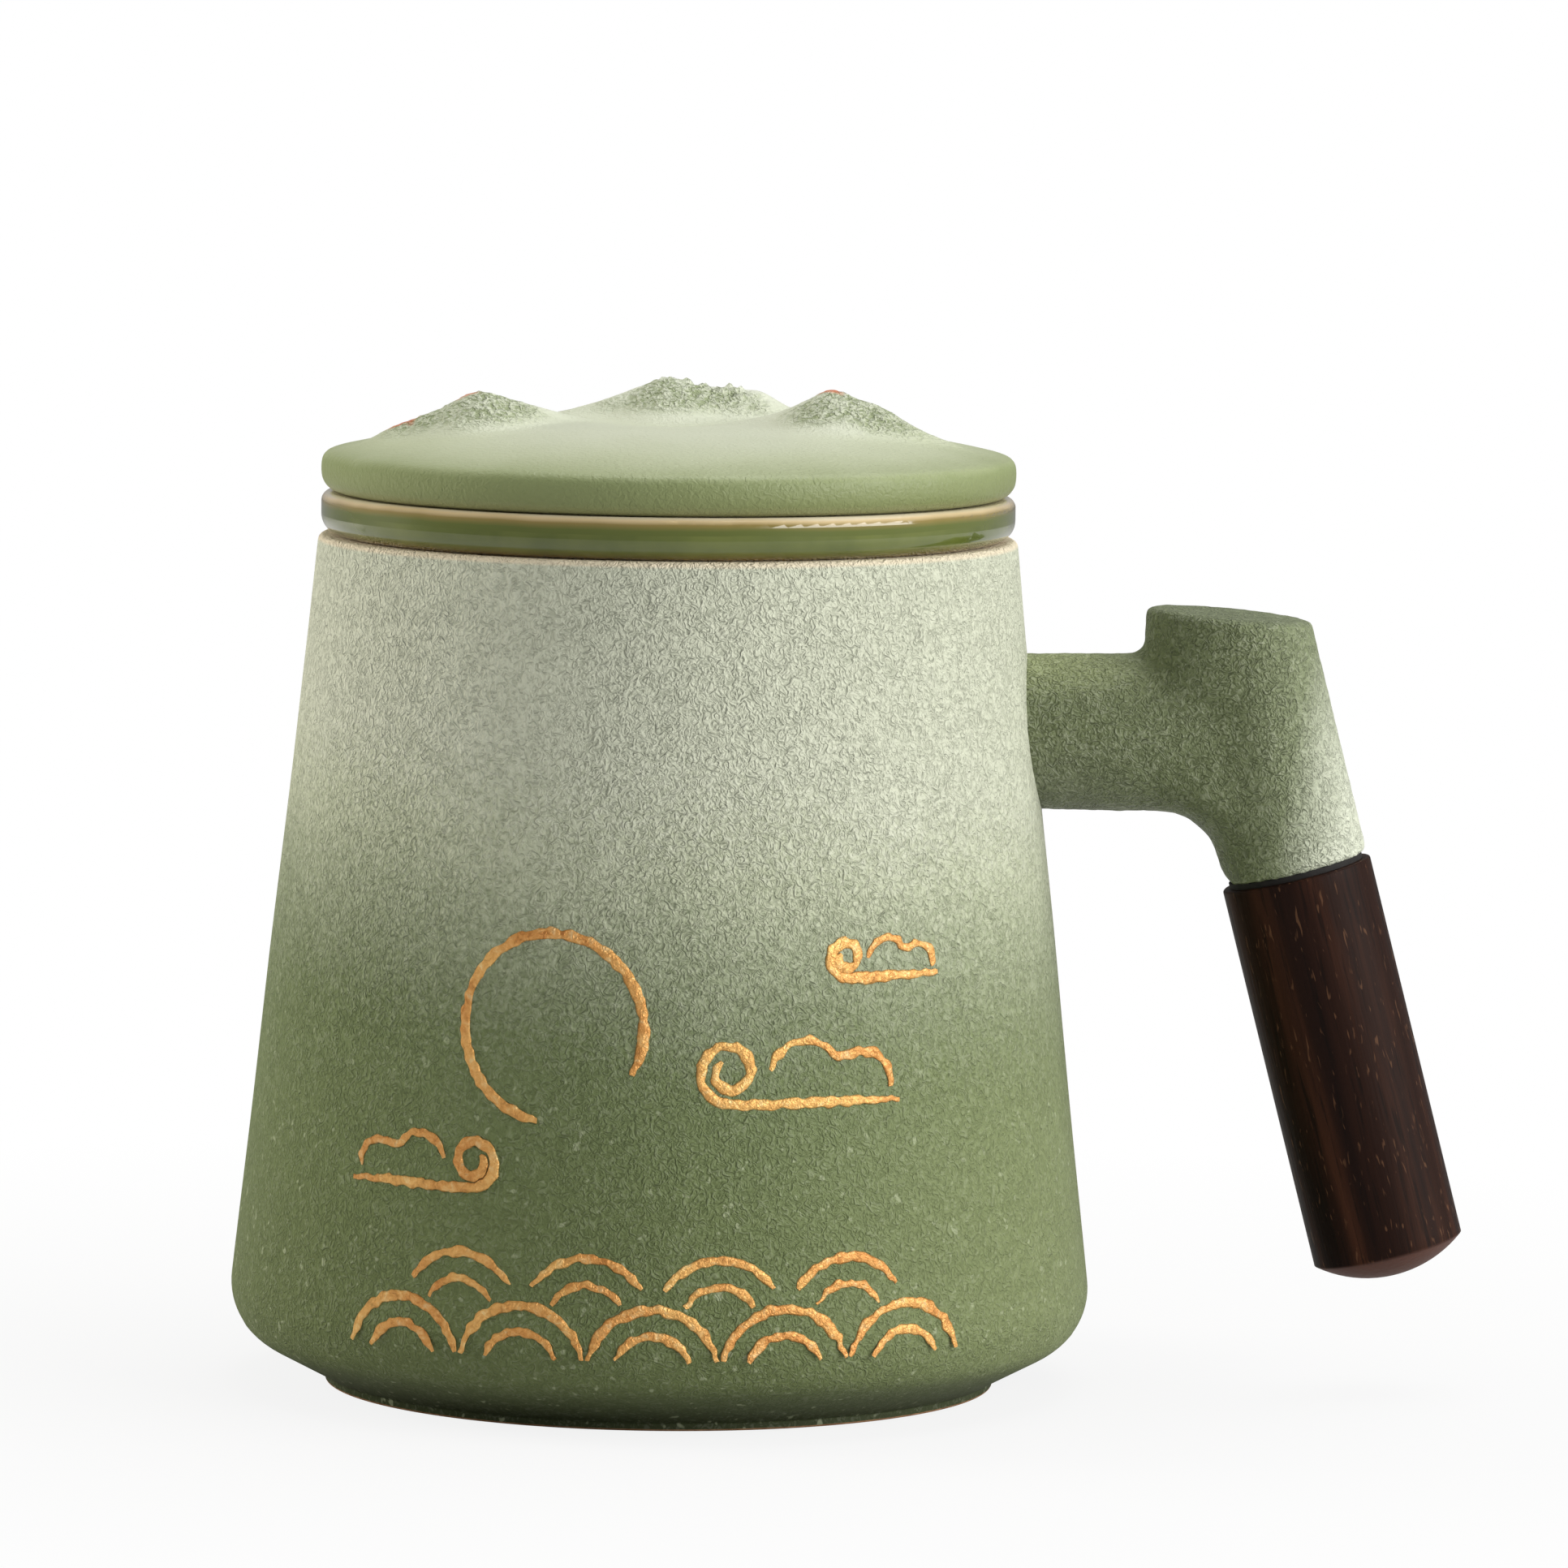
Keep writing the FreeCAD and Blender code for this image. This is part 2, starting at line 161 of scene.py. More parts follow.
def finish_piece(bm, name, materials, body, replaced):
    """Turns a bmesh into a piece of the object, which rides on a body and stands for a node."""
    mesh = bpy.data.meshes.new(name)
    bm.to_mesh(mesh)
    bm.free()
    piece = bpy.data.objects.new(name, mesh)
    bpy.context.collection.objects.link(piece)
    for material in materials:
        mesh.materials.append(material)
    for face in mesh.polygons:
        face.use_smooth = True
    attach(piece, body)
    if replaced:
        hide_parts(replaced)
    return piece


def rounded_profile(corners, spacing):
    """Points (r, z) along a profile whose corners are rounded, with long lines divided."""
    arcs = []
    for index, (r, z, radius) in enumerate(corners):
        corner = Vector((r, z))
        if radius == 0.0 or index in (0, len(corners) - 1):
            arcs.append([corner])
            continue
        back = (Vector(corners[index - 1][:2]) - corner).normalized()
        ahead = (Vector(corners[index + 1][:2]) - corner).normalized()
        half_turn = back.angle(ahead) / 2.0
        centre = corner + (back + ahead).normalized() * radius / math.sin(half_turn)
        start = corner + back * radius / math.tan(half_turn)
        end = corner + ahead * radius / math.tan(half_turn)
        steps = max(4, int(radius / (0.6 * MM)))
        sweep = (start - centre).angle_signed(end - centre)
        arms = [Matrix.Rotation(-sweep * step / steps, 2) @ (start - centre) for step in range(steps + 1)]
        arcs.append([centre + arm for arm in arms])
    points = [arcs[0][0]]
    for arc in arcs[1:]:
        gap = arc[0] - points[-1]
        cuts = int(gap.length / spacing)
        start = points[-1]
        points.extend(start + gap * (cut / (cuts + 1)) for cut in range(1, cuts + 1))
        points.extend(arc)
    return points


def turned_mesh(corners, steps, spacing=PROFILE_SPACING):
    """A closed shell of revolution about Z, spun from a rounded profile that meets the axis."""
    bm = bmesh.new()
    verts = [bm.verts.new((p[0], 0.0, p[1])) for p in rounded_profile(corners, spacing)]
    for first, second in zip(verts, verts[1:]):
        bm.edges.new((first, second))
    bmesh.ops.spin(bm, geom=bm.verts[:] + bm.edges[:], cent=(0, 0, 0), axis=(0, 0, 1),
                   angle=2.0 * math.pi, steps=steps, use_merge=True)
    bmesh.ops.remove_doubles(bm, verts=bm.verts[:], dist=MERGE_DISTANCE)
    bmesh.ops.recalc_face_normals(bm, faces=bm.faces[:])
    return bm


def remeshed(bm, voxel):
    """One clean skin round everything in a bmesh, as evenly sized quads."""
    mesh = bpy.data.meshes.new("remesh_work")
    bm.to_mesh(mesh)
    bm.free()
    work = bpy.data.objects.new("remesh_work", mesh)
    bpy.context.collection.objects.link(work)
    modifier = work.modifiers.new("remesh", "REMESH")
    modifier.mode = "VOXEL"
    modifier.voxel_size = voxel
    depsgraph = bpy.context.evaluated_depsgraph_get()
    result = bmesh.new()
    result.from_object(work, depsgraph)
    bpy.data.objects.remove(work)
    bpy.data.meshes.remove(mesh)
    return result


def copy_of_node(name):
    """The triangles of a CAD node, merged into one closed mesh."""
    bm = bmesh.new()
    bm.from_mesh(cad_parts[name].data)
    bmesh.ops.remove_doubles(bm, verts=bm.verts[:], dist=MERGE_DISTANCE)
    return bm


def smooth(bm, verts, rounds):
    for _ in range(rounds):
        bmesh.ops.smooth_vert(bm, verts=verts, factor=0.5, use_axis_x=True, use_axis_y=True,
                              use_axis_z=True)


# Material helpers

def node(tree, kind, sockets=None, **settings):
    """Adds a node; sockets takes plain values or the sockets that feed them."""
    made = tree.nodes.new(kind)
    for name, value in settings.items():
        setattr(made, name, value)
    for name, value in (sockets or {}).items():
        if isinstance(value, bpy.types.NodeSocket):
            tree.links.new(value, made.inputs[name])
        else:
            made.inputs[name].default_value = value
    return made


def srgb(red, green, blue):
    """A colour given as it looks on screen, 0 to 255, as the shader wants it."""
    def straight(value):
        share = value / 255.0
        return share / 12.92 if share <= 0.04045 else ((share + 0.055) / 1.055) ** 2.4
    return (straight(red), straight(green), straight(blue), 1.0)


def new_finish(name, roughness, metallic=0.0, coat=0.0, coat_roughness=0.1, specular=0.5):
    material = bpy.data.materials.new(name)
    material.use_nodes = True
    shader = material.node_tree.nodes["Principled BSDF"]
    shader.inputs["Roughness"].default_value = roughness
    shader.inputs["Metallic"].default_value = metallic
    shader.inputs["Coat Weight"].default_value = coat
    shader.inputs["Coat Roughness"].default_value = coat_roughness
    shader.inputs["Specular IOR Level"].default_value = specular
    return material, material.node_tree, shader


def place(tree):
    return node(tree, "ShaderNodeTexCoord").outputs["Object"]


def coordinates(tree, vector=None):
    """The x, y and z of a vector, or of the place on the object."""
    return node(tree, "ShaderNodeSeparateXYZ", {"Vector": vector or place(tree)}).outputs


def math_node(tree, operation, first, second=0.0, clamp=False):
    made = node(tree, "ShaderNodeMath", {0: first, 1: second}, operation=operation, use_clamp=clamp)
    return made.outputs[0]


def plus(tree, first, second):
    return math_node(tree, "ADD", first, second)


def times(tree, first, second):
    return math_node(tree, "MULTIPLY", first, second)


def share_between(tree, value, low, high, at_low=0.0, at_high=1.0):
    """A value carried from one span to another, held at both ends."""
    made = node(tree, "ShaderNodeMapRange", {"Value": value, "From Min": low, "From Max": high,
                "To Min": at_low, "To Max": at_high})
    return made.outputs["Result"]


def height_share(tree, low, high):
    """0 below the low height, 1 above the high one and an eased rise between them."""
    made = node(tree, "ShaderNodeMapRange", {"Value": coordinates(tree)["Z"], "From Min": low,
                "From Max": high}, interpolation_type="SMOOTHSTEP")
    return made.outputs["Result"]


def scaled(tree, vector, factors):
    made = node(tree, "ShaderNodeVectorMath", {0: vector, 1: factors}, operation="MULTIPLY")
    return made.outputs["Vector"]


def length_of(tree, vector):
    return node(tree, "ShaderNodeVectorMath", {0: vector}, operation="LENGTH").outputs["Value"]


def grain(tree, scale, detail=2.0, distortion=0.0, roughness=0.5, vector=None):
    made = node(tree, "ShaderNodeTexNoise", {"Vector": vector or place(tree), "Scale": scale,
                "Detail": detail, "Distortion": distortion, "Roughness": roughness})
    return made.outputs["Fac"]


def wander(tree, scale, detail, reach):
    """A noise that swings evenly about zero."""
    return times(tree, math_node(tree, "SUBTRACT", grain(tree, scale, detail), 0.5), reach)


def ramp(tree, value, stops):
    made = node(tree, "ShaderNodeValToRGB", {"Fac": value})
    while len(made.color_ramp.elements) < len(stops):
        made.color_ramp.elements.new(0.5)
    for element, (position, colour) in zip(made.color_ramp.elements, stops):
        element.position = position
        element.color = colour
    return made.outputs["Color"]


def step_up(tree, value, low, high):
    return ramp(tree, value, [(low, BLACK), (high, WHITE)])


def step_down(tree, value, low, high):
    return ramp(tree, value, [(low, WHITE), (high, BLACK)])


def mixed(tree, share, first, second, blend="MIX"):
    sockets = {"Factor": share, 6: first, 7: second}
    return node(tree, "ShaderNodeMix", sockets, data_type="RGBA", blend_type=blend).outputs[2]


def paint(tree, shader, colour):
    tree.links.new(colour, shader.inputs["Base Color"])


def relief(tree, shader, height, distance, strength=1.0):
    sockets = {"Height": height, "Distance": distance, "Strength": strength}
    tree.links.new(node(tree, "ShaderNodeBump", sockets).outputs["Normal"], shader.inputs["Normal"])


def worm_peel(tree):
    """The crawled orange-peel of a dry sprayed glaze: short wandering grains a millimetre long."""
    fine = grain(tree, 1050.0, detail=1.0, distortion=2.2)
    broad = grain(tree, 520.0, detail=1.0, distortion=1.2)
    return plus(tree, times(tree, fine, 0.75), times(tree, broad, 0.25))


def painted_peel_light_and_shade(tree, peel, colour, depth):
    """Painted shade in the creases of the peel and painted highlight on its crowns."""
    crease = step_down(tree, peel, 0.38, 0.5)
    crown = step_up(tree, peel, 0.52, 0.64)
    colour = mixed(tree, times(tree, crease, depth), colour, srgb(96, 104, 82), "MULTIPLY")
    pale = times(tree, times(tree, crown, 0.35), depth)
    return mixed(tree, pale, colour, srgb(236, 238, 222))


# Finishes

def ombre_glaze():
    """Pale sage at the top melting into olive green, dry to the touch, with painted shade darkening the
    bevel near the foot and painted light paling the lower right side.
    """
    material, tree, shader = new_finish("ombre_glaze", 0.6, specular=0.3)
    axes = coordinates(tree)
    slant = times(tree, axes["X"], 0.12)
    drift = plus(tree, wander(tree, 30.0, 3.0, 16.0 * MM), wander(tree, 1500.0, 1.0, 20.0 * MM))
    height = plus(tree, axes["Z"], plus(tree, slant, drift))
    share = math_node(tree, "DIVIDE", height, MUG_HEIGHT)
    colour = ramp(tree, share, [
        (0.0, srgb(104, 116, 72)), (0.28, srgb(110, 123, 78)), (0.42, srgb(114, 127, 84)),
        (0.5, srgb(136, 146, 112)), (0.58, srgb(162, 170, 140)), (0.66, srgb(190, 196, 168)),
        (0.76, srgb(205, 209, 187)), (1.0, srgb(206, 210, 188))])
    # Painted light: the lower right side, which faces the key lamp, is made paler.
    painted_key_light_side = share_between(tree, axes["X"], 12.0 * MM, 50.0 * MM, at_high=0.34)
    low = math_node(tree, "SUBTRACT", 1.0, height_share(tree, 30.0 * MM, 75.0 * MM))
    colour = mixed(tree, times(tree, painted_key_light_side, low), colour, srgb(158, 168, 120))
    # Painted shade: the bevel above the foot is darkened where shade falls under the mug's widest part.
    painted_bevel_shade = share_between(tree, axes["Z"], 1.0 * MM, 7.0 * MM, at_low=0.85, at_high=0.0)
    colour = mixed(tree, painted_bevel_shade, colour, srgb(48, 56, 30))
    peel = worm_peel(tree)
    shade = math_node(tree, "SUBTRACT", 0.27, times(tree, low, 0.09))
    # Painted shade in the peel's creases and painted highlight on its crowns.
    colour = painted_peel_light_and_shade(tree, peel, colour, shade)
    flecks = step_up(tree, grain(tree, 800.0, 1.0), 0.68, 0.75)
    colour = mixed(tree, times(tree, times(tree, flecks, low), 0.45), colour, srgb(186, 194, 160))
    lip = height_share(tree, MUG_HEIGHT - 0.9 * MM, MUG_HEIGHT - 0.35 * MM)
    paint(tree, shader, mixed(tree, lip, colour, srgb(232, 220, 192)))
    above_bevel = share_between(tree, axes["Z"], 3.0 * MM, 11.0 * MM, at_low=0.3)
    depth = math_node(tree, "SUBTRACT", above_bevel, times(tree, low, 0.22), clamp=True)
    relief(tree, shader, times(tree, peel, depth), 0.8 * MM)
    return material


def handle_glaze():
    """The same dry glaze on the handle: green towards the mug, paler towards the seam, partly the glaze's
    own shift and partly painted light on the outer side facing the key lamp; painted light on the arm's
    top and painted shade under it near the mug.
    """
    material, tree, shader = new_finish("handle_glaze", 0.5, specular=0.45)
    axes = coordinates(tree)
    # Paler outward and lower down: partly the glaze's own shift, partly painted light on the outer side
    # facing the key lamp.
    outward_and_lit = share_between(tree, axes["X"], 71.0 * MM, 86.0 * MM)
    downward = share_between(tree, axes["Z"], 94.0 * MM, 64.0 * MM)
    share = times(tree, outward_and_lit, plus(tree, times(tree, downward, 0.32), 0.59))
    share = plus(tree, share, wander(tree, 70.0, 3.0, 0.3))
    colour = ramp(tree, share, [
        (0.0, srgb(112, 122, 84)), (0.4, srgb(130, 140, 104)), (0.8, srgb(212, 217, 196))])
    near = share_between(tree, axes["X"], 64.0 * MM, 52.0 * MM)
    # Painted shade: a greyer tone under the arm near the mug.
    painted_underside_shade = share_between(tree, axes["Z"], 84.0 * MM, 74.0 * MM, at_high=0.6)
    colour = mixed(tree, times(tree, painted_underside_shade, near), colour, srgb(124, 130, 108))
    # Painted light: a paler tone along the arm's top near the mug.
    painted_top_light = times(tree, height_share(tree, 87.0 * MM, 93.0 * MM), 0.75)
    colour = mixed(tree, times(tree, painted_top_light, near), colour, srgb(158, 168, 116))
    peel = worm_peel(tree)
    # Painted shade in the peel's creases and painted highlight on its crowns.
    paint(tree, shader, painted_peel_light_and_shade(tree, peel, colour, 0.3))
    relief(tree, shader, peel, 0.9 * MM)
    return material


def inner_glaze():
    """The glossy pale glaze inside the cup."""
    material, tree, shader = new_finish("inner_glaze", 0.14, coat=0.3)
    cloudy = grain(tree, 40.0, 4.0)
    paint(tree, shader, ramp(tree, cloudy, [(0.3, srgb(196, 196, 164)), (0.7, srgb(214, 211, 184))]))
    relief(tree, shader, grain(tree, 160.0, 2.0), 0.03 * MM, 0.4)
    return material


def bare_clay():
    """Unglazed fired clay on the foot ring."""
    material, tree, shader = new_finish("bare_clay", 0.85, specular=0.25)
    grog = grain(tree, 900.0, 5.0)
    paint(tree, shader, ramp(tree, grog, [(0.3, srgb(128, 92, 66)), (0.7, srgb(176, 136, 100))]))
    relief(tree, shader, grain(tree, 2600.0, 3.0), 0.08 * MM, 0.8)
    return material


def flange_glaze():
    """Glossy olive on the infuser's flange, honey at its upper edge, and a pale glaze elsewhere."""
    material, tree, shader = new_finish("flange_glaze", 0.16, coat=0.7, coat_roughness=0.05)
    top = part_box("infuser")[1][2]
    z = plus(tree, coordinates(tree)["Z"], wander(tree, 45.0, 3.0, 0.9 * MM))
    colour = ramp(tree, share_between(tree, z, MUG_HEIGHT, top), [
        (0.0, srgb(148, 92, 38)), (0.1, srgb(112, 98, 40)), (0.22, srgb(82, 92, 34)),
        (0.7, srgb(92, 102, 38)), (0.84, srgb(140, 122, 64)), (0.93, srgb(222, 198, 152)),
        (1.0, srgb(246, 234, 208))])
    mottle = grain(tree, 130.0, 4.0)
    mottled = ramp(tree, mottle, [(0.35, srgb(82, 94, 38)), (0.7, srgb(122, 130, 62))])
    side = math_node(tree, "LESS_THAN", z, MUG_HEIGHT + 3.2 * MM)
    colour = mixed(tree, times(tree, side, 0.4), colour, mottled)
    radius = length_of(tree, scaled(tree, place(tree), (1.0, 1.0, 0.0)))
    outer = share_between(tree, radius, 39.0 * MM, 40.2 * MM)
    on_flange = times(tree, outer, math_node(tree, "GREATER_THAN", z, MUG_HEIGHT - 0.5 * MM))
    cloudy = grain(tree, 60.0, 4.0)
    pale = ramp(tree, cloudy, [(0.3, srgb(190, 192, 158)), (0.7, srgb(208, 206, 176))])
    paint(tree, shader, mixed(tree, on_flange, pale, colour))
    relief(tree, shader, grain(tree, 120.0, 2.0), 0.05 * MM, 0.5)
    return material


def lid_glaze():
    """Satin glaze: olive on the rim, sage on the dome, crumbly and pale on the peaks."""
    material, tree, shader = new_finish("lid_glaze", 0.46, specular=0.4)
    height = plus(tree, coordinates(tree)["Z"], wander(tree, 70.0, 3.0, 1.6 * MM))
    colour = ramp(tree, share_between(tree, height, 112.6 * MM, 126.5 * MM), [
        (0.0, srgb(140, 142, 100)), (0.1, srgb(126, 135, 86)), (0.3, srgb(136, 147, 100)),
        (0.38, srgb(160, 169, 128)), (0.48, srgb(184, 191, 158)), (0.62, srgb(204, 209, 185)),
        (0.92, srgb(222, 226, 208))])
    crag = node(tree, "ShaderNodeAttribute", attribute_name="crag").outputs["Fac"]
    bare = node(tree, "ShaderNodeAttribute", attribute_name="bare").outputs["Fac"]
    pebbles = grain(tree, 1500.0, 2.0, 0.8)
    hollow = step_down(tree, pebbles, 0.4, 0.56)
    colour = mixed(tree, times(tree, crag, 0.35), colour, srgb(168, 178, 138))
    sunk = times(tree, times(tree, hollow, crag), 0.8)
    colour = mixed(tree, sunk, colour, srgb(132, 145, 98))
    paint(tree, shader, mixed(tree, bare, colour, srgb(206, 122, 84)))
    relief(tree, shader, times(tree, pebbles, plus(tree, crag, 0.26)), 0.7 * MM)
    return material


def dark_wood():
    """Oiled dark hardwood, its grain along the grip, with pores and small pale flecks."""
    material, tree, shader = new_finish("dark_wood", 0.5, specular=0.08)
    at_seam = node(tree, "ShaderNodeMapping", {"Vector": place(tree), "Location": -SEAM})
    along = node(tree, "ShaderNodeVectorRotate", {"Vector": at_seam.outputs["Vector"],
                 "Angle": math.radians(GRIP_TILT)}, rotation_type="Y_AXIS").outputs["Vector"]
    lines = scaled(tree, along, (1.0, 1.0, 0.055))
    dashes = scaled(tree, along, (1.0, 1.0, 0.22))
    bands = grain(tree, 240.0, 4.0, 0.4, vector=lines)
    pores = grain(tree, 1500.0, 3.0, 0.0, 0.6, vector=lines)
    colour = ramp(tree, bands, [(0.3, srgb(28, 15, 11)), (0.5, srgb(40, 22, 15)),
                                (0.62, srgb(58, 33, 22)), (0.78, srgb(84, 50, 34))])
    dark = step_down(tree, pores, 0.34, 0.46)
    colour = mixed(tree, times(tree, dark, 0.75), colour, srgb(20, 12, 9))
    pale = step_up(tree, grain(tree, 1900.0, 1.0, 0.6, vector=dashes), 0.66, 0.74)
    colour = mixed(tree, times(tree, pale, 0.3), colour, srgb(140, 100, 72))
    depth = coordinates(tree, along)["Z"]
    # Painted light: the domed end is painted paler for the light its polished end grain reflects.
    painted_end_light = share_between(tree, depth, -49.8 * MM, -50.3 * MM, at_high=0.75)
    paint(tree, shader, mixed(tree, painted_end_light, colour, srgb(104, 72, 62)))
    relief(tree, shader, pores, 0.09 * MM, 0.7)
    return material


def gold_lustre():
    """Gold brushed on thickly: warm and uneven, brown where it is thin, pale where it is rubbed."""
    material, tree, shader = new_finish("gold_lustre", 0.42, metallic=0.45, specular=0.6)
    worn = grain(tree, 900.0, 4.0, 0.8, 0.6)
    colour = ramp(tree, worn, [(0.3, srgb(176, 108, 50)), (0.42, srgb(226, 156, 82)),
                               (0.56, srgb(248, 188, 112)), (0.72, srgb(255, 228, 172))])
    tone = grain(tree, 90.0, 2.0)
    broad = ramp(tree, tone, [(0.4, srgb(212, 146, 72)), (0.65, srgb(252, 210, 122))])
    paint(tree, shader, mixed(tree, 0.4, colour, broad))
    relief(tree, shader, grain(tree, 2000.0, 3.0, 1.0), 0.3 * MM)
    return material


def plain_finish(name, dark, light, roughness, metallic, scale):
    """A small hidden part's finish: two tones of one material with a fine tooth."""
    material, tree, shader = new_finish(name, roughness, metallic)
    tone = grain(tree, scale, 4.0)
    paint(tree, shader, ramp(tree, tone, [(0.3, dark), (0.7, light)]))
    relief(tree, shader, tone, 0.03 * MM, 0.5)
    return material


# Pieces

def mug_corners():
    rise_per_run = math.tan(math.radians(BEVEL_ANGLE))
    taper = (BASE_RADIUS - RIM_RADIUS) / MUG_HEIGHT
    widest_z = (BASE_RADIUS - FOOT_RADIUS + FOOT_HEIGHT / rise_per_run) / (1.0 / rise_per_run + taper)
    inner_foot = FOOT_RADIUS - FOOT_RING_WIDTH
    return [
        (0.0, FOOT_RECESS, 0.0),
        (inner_foot, FOOT_RECESS, FOOT_ROUND),
        (inner_foot, 0.0, FOOT_ROUND),
        (FOOT_RADIUS, 0.0, FOOT_ROUND / 2.0),
        (FOOT_RADIUS, FOOT_HEIGHT, FOOT_ROUND / 2.0),
        (wall_radius(widest_z), widest_z, CORNER_ROUND),
        (RIM_RADIUS, MUG_HEIGHT, RIM_ROUND),
        (RIM_RADIUS - MUG_WALL, MUG_HEIGHT, MOUTH_ROUND),
        (wall_radius(FLOOR_TOP) - MUG_WALL, FLOOR_TOP, FLOOR_ROUND),
        (0.0, FLOOR_TOP, 0.0),
    ]


def wall_radius(z):
    """The mug's outer radius at a height on its cone."""
    return BASE_RADIUS + (RIM_RADIUS - BASE_RADIUS) * z / MUG_HEIGHT


def make_mug_shell():
    bm = turned_mesh(mug_corners(), MUG_STEPS)
    for vert in bm.verts:
        above = vert.co.z - WAVE_BOTTOM
        below = MUG_HEIGHT - WAVE_TOP - vert.co.z
        if above > 0.0 and below > 0.0 and vert.co.xy.length > wall_radius(vert.co.z) - 2.0 * MM:
            wave = noise.noise(vert.co * WAVE_SCALE) * THROWN_WAVE
            ease = min(1.0, below / WAVE_FADE, above / WAVE_FADE)
            vert.co.xy *= 1.0 + (wave - THROWN_WAVE) * ease / vert.co.xy.length
    for face in bm.faces:
        middle = face.calc_center_median()
        radius = middle.xy.length
        if middle.z < 0.45 * MM:
            face.material_index = 2
        elif middle.z > FLOOR_TOP - 0.1 * MM and radius < wall_radius(middle.z) - MUG_WALL + 0.3 * MM:
            face.material_index = 1
    finishes = [ombre_glaze(), inner_glaze(), bare_clay()]
    return finish_piece(bm, "mug_shell", finishes, "mug", "mug_body")


def disc_place(centre, normal, half_across, half_depth):
    """Carries a unit disc to an ellipse that faces along a normal in the XZ plane."""
    turn = math.atan2(normal[0], normal[1])
    return (Matrix.Translation(centre) @ Matrix.Rotation(turn, 4, "Y")
            @ Matrix.Diagonal((half_across, half_depth, 1.0, 1.0)))


def add_loft(bm, start, end):
    """A closed taper between two placed unit discs."""
    made = bmesh.ops.create_cone(bm, cap_ends=True, segments=128, radius1=1.0, radius2=1.0, depth=2.0)
    low = [vert for vert in made["verts"] if vert.co.z < 0.0]
    high = [vert for vert in made["verts"] if vert.co.z > 0.0]
    bmesh.ops.transform(bm, matrix=start @ Matrix.Translation((0.0, 0.0, 1.0)), verts=low)
    bmesh.ops.transform(bm, matrix=end @ Matrix.Translation((0.0, 0.0, -1.0)), verts=high)


def make_handle_shell():
    """The arm and boss in one skin: a crisp step above the arm, a wide sweep below it."""
    tilt = math.radians(BOSS_TOP_TILT)
    lean = math.radians(GRIP_TILT)
    along_arm = (1.0, 0.0)
    up = (0.0, 1.0)
    up_at_top = (math.sin(tilt), math.cos(tilt))
    up_at_seam = (-math.sin(lean), math.cos(lean))
    bm = bmesh.new()
    add_loft(bm,
             disc_place((ARM_ROOT_X, 0.0, ARM_CENTRE_HEIGHT), along_arm, ARM_HALF_HEIGHT, ARM_HALF_DEPTH),
             disc_place((ARM_END_X, 0.0, ARM_CENTRE_HEIGHT), along_arm,
                        ARM_HALF_HEIGHT_AT_BOSS, ARM_HALF_DEPTH))
    add_loft(bm,
             disc_place(SEAM, up_at_seam, BOSS_END_RADIUS, BOSS_END_RADIUS),
             disc_place(BOSS_TOP, up_at_top, BOSS_TOP_HALF_WIDTH, BOSS_TOP_HALF_DEPTH))
    add_loft(bm,
             disc_place((SHOULDER_X, 0.0, SHOULDER_BOTTOM), up, SHOULDER_HALF_WIDTH, SHOULDER_HALF_DEPTH),
             disc_place((SHOULDER_X, 0.0, SHOULDER_TOP), up_at_top,
                        SHOULDER_HALF_WIDTH, SHOULDER_HALF_DEPTH))
    slope = math.radians(SWEEP_SLOPE)
    along = (math.cos(slope), -math.sin(slope))
    half_run = Vector((along[0], 0.0, along[1])) * SWEEP_LENGTH / 2.0
    add_loft(bm, disc_place(SWEEP_MIDDLE - half_run, along, SWEEP_HALF_HEIGHT, SWEEP_HALF_DEPTH),
             disc_place(SWEEP_MIDDLE + half_run, along, SWEEP_HALF_HEIGHT, SWEEP_HALF_DEPTH))
    bmesh.ops.recalc_face_normals(bm, faces=bm.faces[:])
    bm = remeshed(bm, HANDLE_VOXEL)
    for middle, reach, rounds in SOFTENED:
        near = [vert for vert in bm.verts
                if math.hypot(vert.co.x - middle.x, vert.co.z - middle.z) < reach]
        smooth(bm, near, rounds)
    smooth(bm, bm.verts[:], HANDLE_SMOOTHING)
    bm.normal_update()
    for vert in bm.verts:
        height = noise.noise(vert.co * 900.0) + 0.5 * noise.noise(vert.co * 420.0)
        vert.co += vert.normal * height * HANDLE_PEEL
    return finish_piece(bm, "handle_shell", [handle_glaze()], "mug", "handle_arm")


def dome_height(radius):
    return LID_EDGE_HEIGHT + LID_DOME_RISE * (1.0 - (radius / LID_RADIUS) ** LID_DOME_POWER)


def patch_share(spot, x, y, reach_x, reach_y):
    """1 in the middle of a patch, falling softly to 0 past its reach."""
    away = math.hypot((spot.x / MM - x) / reach_x, (spot.y / MM - y) / reach_y)
    share = min(1.0, max(0.0, 1.5 - away - 0.5 * noise.noise(spot * 260.0)))
    return share * share * (3.0 - 2.0 * share)


def bare_tip(spot, x, y, reach):
    """How much clay shows at a spot near a worn tip of the mountains."""
    away = math.hypot((spot.x - x) / reach, (spot.y - y) / (0.6 * reach))
    return min(1.0, max(0.0, 1.3 - away + 0.9 * noise.noise(spot * 700.0)))


